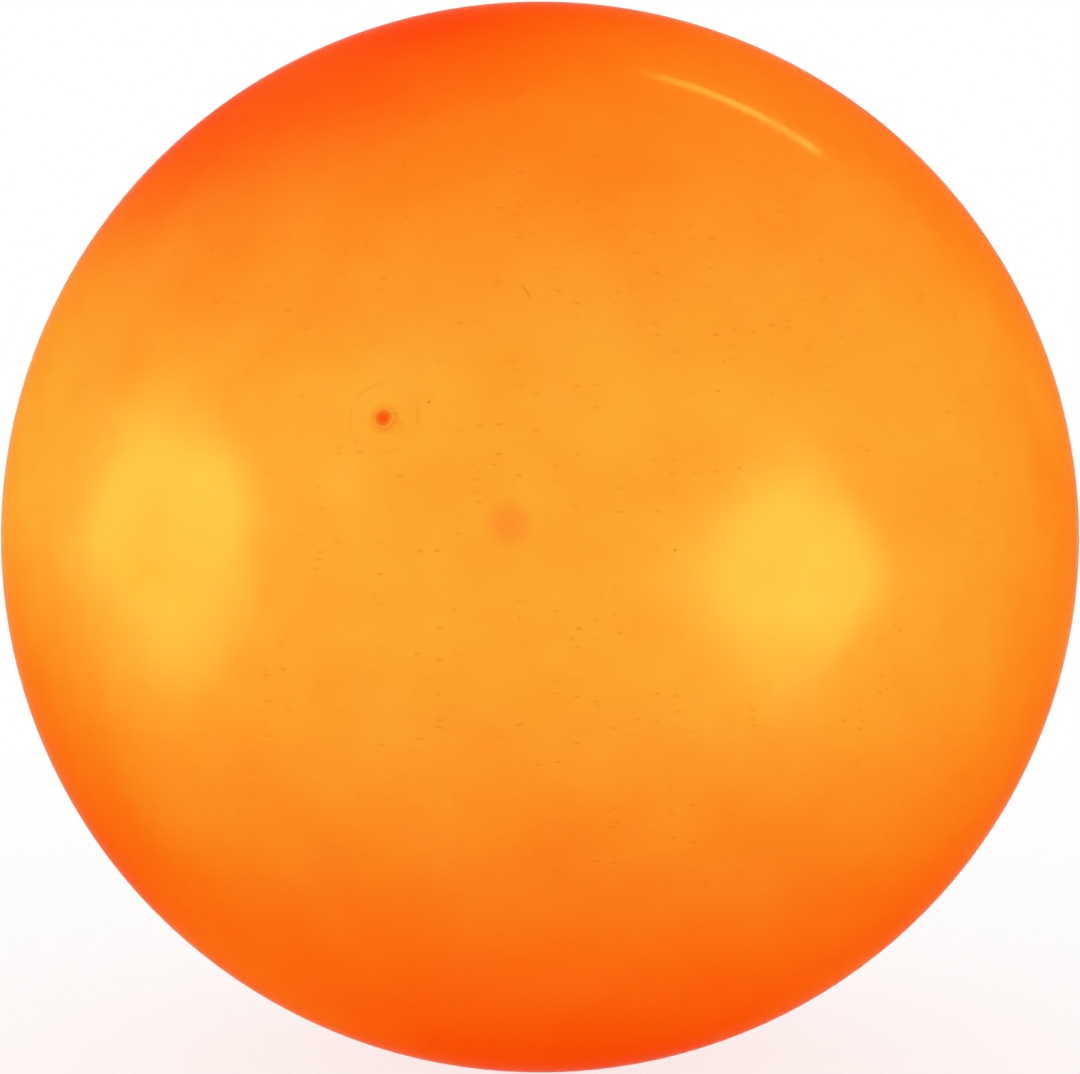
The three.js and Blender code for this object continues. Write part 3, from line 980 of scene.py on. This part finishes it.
def softbox(name, rows, brightness, profile, colour=WHITE):
    """A panel that is seen at rows of picture points; a profile makes a glow of its two coordinates."""
    points = [bounced(*point) for row in rows for point in row]
    wide, tall = len(rows[0]), len(rows)
    spots = [(2 * i / (wide - 1) - 1, 2 * j / (tall - 1) - 1) for j in range(tall) for i in range(wide)]
    faces = [(j * wide + i, j * wide + i + 1, (j + 1) * wide + i + 1, (j + 1) * wide + i)
             for j in range(tall - 1) for i in range(wide - 1)]
    mesh = bpy.data.meshes.new(name)
    mesh.from_pydata(points, [], faces)
    chart = mesh.uv_layers.new(name="spot")
    for corner in mesh.loops:
        chart.data[corner.index].uv = spots[corner.vertex_index]
    panel = bpy.data.objects.new(name, mesh)
    bpy.context.scene.collection.objects.link(panel)
    for kind in HIDDEN_FROM:
        setattr(panel, "visible_" + kind, False)
    material, tree = new_material(name)
    spot = add(tree, "ShaderNodeUVMap", {"uv_map": chart.name}).outputs[0]
    along, across, _ = add(tree, "ShaderNodeSeparateXYZ", i0=spot).outputs
    glow = sums(tree, "MULTIPLY_ADD", profile(tree, along, across), brightness, ROOM_STRENGTH)
    lamp = add(tree, "ShaderNodeEmission", Color=colour, Strength=glow)
    add(tree, "ShaderNodeOutputMaterial", Surface=lamp.outputs[0])
    mesh.materials.append(material)
    print(name, "hangs round", [round(v, 2) for v in points[len(points) // 2]])


print("panels hang", PANEL_DISTANCE, "m from the ball, hidden from", HIDDEN_FROM)

# %% [markdown]
# ## The shape of a glow
#
# Each glow has a bright core and a broad faint halo, and its edge is crisper on the right. A gradient
# texture could fade it evenly, but not with two different sides, so the fade is worked out from the
# panel's own coordinates. The glow is fitted to its middle and its four ends in the picture.

# %% Helpers that lay out and shade a glow

GLOW_STEPS = 16
CORE, HALO = 0.7, 0.3
CRISP_SIDE = 0.3
SOFT_BEGINS, CRISP_BEGINS = 0.2, 0.35
SOFT_ENDS, CRISP_ENDS = 0.74, 0.55


def around(middle, left, right, top, bottom):
    """Rows of picture points round a middle, out to the points where the glow ends on its four sides."""
    rows = []
    shares = [2 * k / GLOW_STEPS - 1 for k in range(GLOW_STEPS + 1)]
    for v in shares:
        end = bottom if v > 0 else top
        row = []
        for u in shares:
            side = right if u > 0 else left
            point = [m + abs(u) * (s - m) + abs(v) * (e - m) for m, s, e in zip(middle, side, end)]
            row.append(point)
        rows.append(row)
    return rows


def soft_glow(roundness):
    """A profile that is bright in the middle, with a broad faint edge that is crisper on the right."""

    def profile(tree, along, across):
        reaches = [sums(tree, "ABSOLUTE", value) for value in (along, across)]
        powers = [sums(tree, "POWER", reach, roundness) for reach in reaches]
        away = sums(tree, "POWER", sums(tree, "ADD", *powers), 1 / roundness)
        begins = remap(tree, along, 0.0, CRISP_SIDE, SOFT_BEGINS, CRISP_BEGINS)
        ends = remap(tree, along, 0.0, CRISP_SIDE, SOFT_ENDS, CRISP_ENDS)
        core = remap(tree, away, begins, ends, CORE, 0.0)
        return sums(tree, "ADD", core, remap(tree, away, 0.0, 1.0, HALO, 0.0))

    return profile


print("a glow is", GLOW_STEPS, "steps wide, with a core of", CORE, "and a halo of", HALO)

# %% Hang the two softboxes

LEFT_GLOW = {"middle": (134, 530), "left": (4, 540), "right": (384, 575), "top": (210, 265),
             "bottom": (188, 822)}
RIGHT_GLOW = {"middle": (800, 563), "left": (580, 575), "right": (990, 590), "top": (805, 360),
              "bottom": (770, 800)}
LEFT_ROUNDNESS, RIGHT_ROUNDNESS = 2.0, 1.5
LEFT_BRIGHTNESS, RIGHT_BRIGHTNESS = 9.2, 8.6

softbox("left softbox", around(**LEFT_GLOW), LEFT_BRIGHTNESS, soft_glow(LEFT_ROUNDNESS))
softbox("right softbox", around(**RIGHT_GLOW), RIGHT_BRIGHTNESS, soft_glow(RIGHT_ROUNDNESS))

# %% [markdown]
# ## The strip lamp
#
# The thin bright arc at the upper right is a strip lamp, seen near the edge of the ball. It could be
# painted on the film, but it is a reflection, so it is a third panel, narrow and bent along the arc.
# The film's gloss takes away most of the blue, and the arc is paler than the glows, so this lamp has
# more blue in it.

# %% Hang the strip lamp

ARC_RADIUS, ARC_WIDTH, ARC_STEPS = 475, 5.5, 24
ARC_FROM, ARC_TO = 79.5, 52.5
START_FADE, END_FADE, SIDE_FADE = -0.5, 0.76, 0.5
STRIP_BRIGHTNESS = 20.5
STRIP_COLOUR = (1.0, 1.0, 3.0, 1.0)


def strip_glow(tree, along, across):
    """Even along the strip, with a long fade at its start and a short one at its end."""
    start = remap(tree, along, -1.0, START_FADE, 0.0, 1.0)
    end = remap(tree, along, END_FADE, 1.0, 1.0, 0.0)
    side = remap(tree, sums(tree, "ABSOLUTE", across), SIDE_FADE, 1.0, 1.0, 0.0)
    return sums(tree, "MULTIPLY", sums(tree, "MULTIPLY", start, end), side)


arc = []
for across in (-1, 0, 1):
    reach = ARC_RADIUS + across * ARC_WIDTH / 2
    row = []
    for k in range(ARC_STEPS + 1):
        angle = math.radians(ARC_FROM + (ARC_TO - ARC_FROM) * k / ARC_STEPS)
        row.append((IMAGE_WIDTH / 2 + reach * math.cos(angle), IMAGE_HEIGHT / 2 - reach * math.sin(angle)))
    arc.append(row)
softbox("strip lamp", arc, STRIP_BRIGHTNESS, strip_glow, STRIP_COLOUR)
